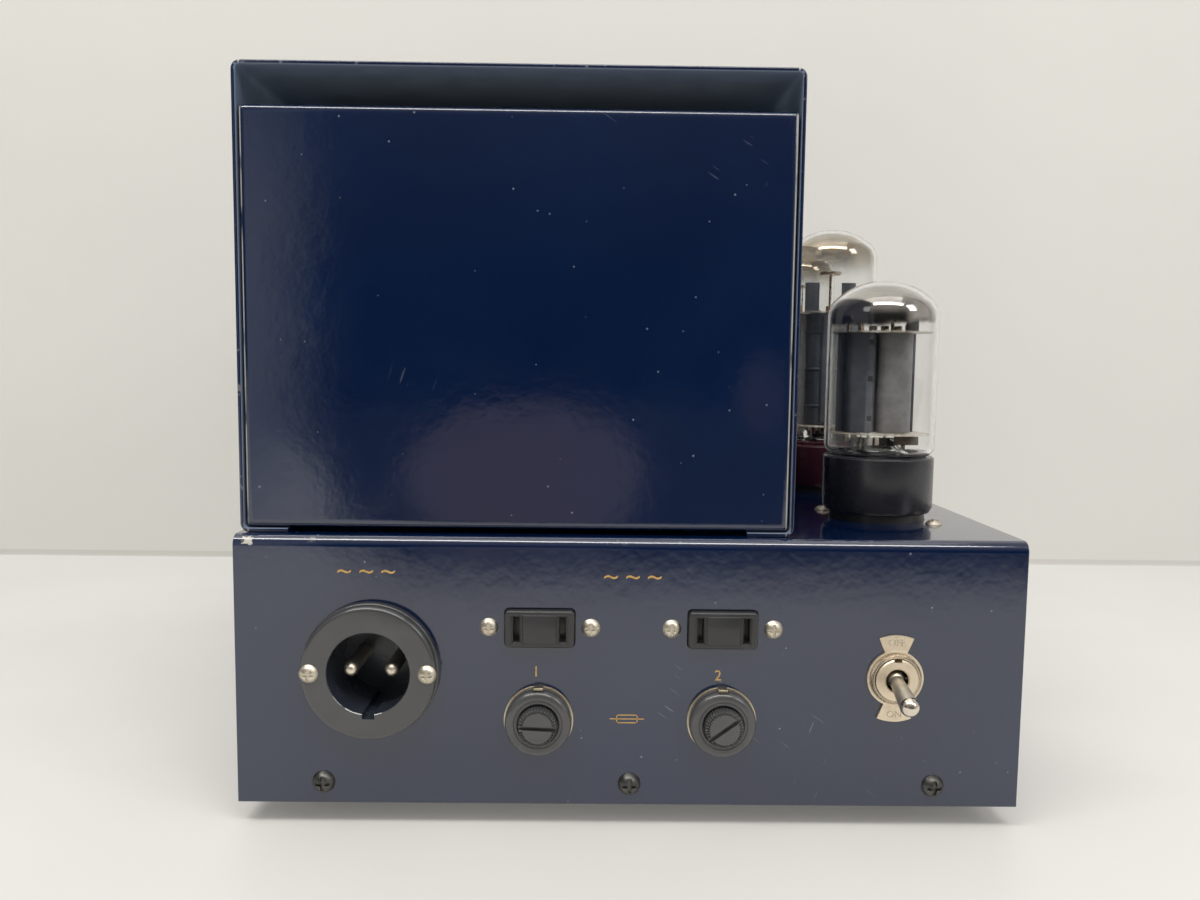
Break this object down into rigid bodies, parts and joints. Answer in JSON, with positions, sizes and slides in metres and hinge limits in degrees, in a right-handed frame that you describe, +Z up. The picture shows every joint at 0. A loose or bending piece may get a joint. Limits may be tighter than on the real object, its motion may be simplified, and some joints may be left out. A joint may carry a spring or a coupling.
{
  "type": "valve power amplifier",
  "caption": "Valve power amplifier on a folded steel chassis, with a transformer cover, plug-in valves, a mains inlet and outlets, fuses and a toggle switch.",
  "frame": {"origin": "on the table, under the middle of the amplifier's bounding box", "axes": "+X to the right as seen from the mains end, +Y from the mains end to the signal end, +Z up"},
  "size_m": [0.219, 0.3306, 0.2097],
  "materials": {
    "enamel": "deep navy gloss enamel on folded steel",
    "plain_steel": "plain plated steel",
    "black_steel": "blackened steel",
    "rubber": "black rubber",
    "moulding": "black phenolic moulding",
    "black_base": "polished black phenolic",
    "brown_base": "dark red-brown phenolic",
    "nickel": "warm bright nickel plate",
    "washer": "pale plated brass",
    "brass": "plain brass",
    "fuse_glass": "glass tube with metal ends",
    "brown_board": "brown laminated board",
    "can": "drawn aluminium can",
    "core": "varnished steel laminations",
    "winding": "copper windings in varnished paper",
    "electrode": "dark carbonised nickel sheet",
    "bulb_glass": "clear bulb glass with a silvered crown"
  },
  "bodies": {
    "amplifier": {"chassis": "enamel", "bottom_plate": "plain_steel", "bottom_plate_screws": "black_steel", "feet": "rubber", "chassis_screws": "plain_steel", "cover_wrap": "enamel", "cover_front_panel": "enamel", "cover_rear_panel": "enamel", "mains_inlet": "moulding", "mains_inlet_pins": "nickel", "panel_screws": "nickel", "outlet_left": "moulding", "outlet_right": "moulding", "outlet_contacts": "brass", "fuse_holder_left": "moulding", "fuse_holder_right": "moulding", "fuse_washers": "washer", "fuse_holder_nuts": "moulding", "fuse_contacts": "brass", "switch_body": "brown_board", "switch_bush": "nickel", "switch_plate": "nickel", "switch_nut": "nickel", "rectifier_socket": "moulding", "output_socket_near": "moulding", "output_socket_far": "moulding", "small_sockets": "moulding", "socket_screws": "nickel", "mains_transformer_core": "core", "mains_transformer_coil": "winding", "output_transformer_core": "core", "output_transformer_coil": "winding", "transformer_brackets": "plain_steel", "transformer_bolts": "plain_steel", "smoothing_capacitor": "can", "tag_board": "brown_board", "terminal_strip": "moulding", "terminal_screws": "brass", "phono_socket": "nickel"},
    "switch_lever": {"switch_lever": "nickel"},
    "fuse_link_left": {"fuse_link_left": "fuse_glass"},
    "fuse_cap_left": {"fuse_cap_left": "moulding"},
    "fuse_link_right": {"fuse_link_right": "fuse_glass"},
    "fuse_cap_right": {"fuse_cap_right": "moulding"},
    "rectifier": {"rectifier_base": "black_base", "rectifier_pins": "nickel", "rectifier_glass": "bulb_glass", "rectifier_electrodes": "electrode"},
    "output_valve_near": {"output_valve_near_base": "brown_base", "output_valve_near_pins": "nickel", "output_valve_near_glass": "bulb_glass", "output_valve_near_electrodes": "electrode"},
    "output_valve_far": {"output_valve_far_base": "brown_base", "output_valve_far_pins": "nickel", "output_valve_far_glass": "bulb_glass", "output_valve_far_electrodes": "electrode"},
    "driver_valve": {"driver_valve_glass": "bulb_glass", "driver_valve_electrodes": "electrode"},
    "input_valve": {"input_valve_glass": "bulb_glass", "input_valve_electrodes": "electrode"}
  },
  "joints": [
    {"name": "switch_toggle", "type": "hinge", "parent": "amplifier", "child": "switch_lever", "pos_m": [0.0736, -0.14966, 0.0437], "axis": [-1, 0, 0], "range_deg": [0, 30]},
    {"name": "fuse_left_draw", "type": "slide", "parent": "amplifier", "child": "fuse_link_left", "axis": [0, -1, 0], "range_m": [0, 0.045]},
    {"name": "fuse_left_cap_turn", "type": "hinge", "parent": "fuse_link_left", "child": "fuse_cap_left", "pos_m": [-0.0255, -0.14966, 0.0311], "axis": [0, -1, 0], "range_deg": [0, 60]},
    {"name": "fuse_right_draw", "type": "slide", "parent": "amplifier", "child": "fuse_link_right", "axis": [0, -1, 0], "range_m": [0, 0.045]},
    {"name": "fuse_right_cap_turn", "type": "hinge", "parent": "fuse_link_right", "child": "fuse_cap_right", "pos_m": [0.0255, -0.14966, 0.0311], "axis": [0, -1, 0], "range_deg": [0, 60]},
    {"name": "rectifier_draw", "type": "slide", "parent": "amplifier", "child": "rectifier", "axis": [0, 0, 1], "range_m": [0, 0.03]},
    {"name": "output_valve_near_draw", "type": "slide", "parent": "amplifier", "child": "output_valve_near", "axis": [0, 0, 1], "range_m": [0, 0.03]},
    {"name": "output_valve_far_draw", "type": "slide", "parent": "amplifier", "child": "output_valve_far", "axis": [0, 0, 1], "range_m": [0, 0.03]},
    {"name": "driver_valve_draw", "type": "slide", "parent": "amplifier", "child": "driver_valve", "axis": [0, 0, 1], "range_m": [0, 0.03]},
    {"name": "input_valve_draw", "type": "slide", "parent": "amplifier", "child": "input_valve", "axis": [0, 0, 1], "range_m": [0, 0.03]}
  ]
}
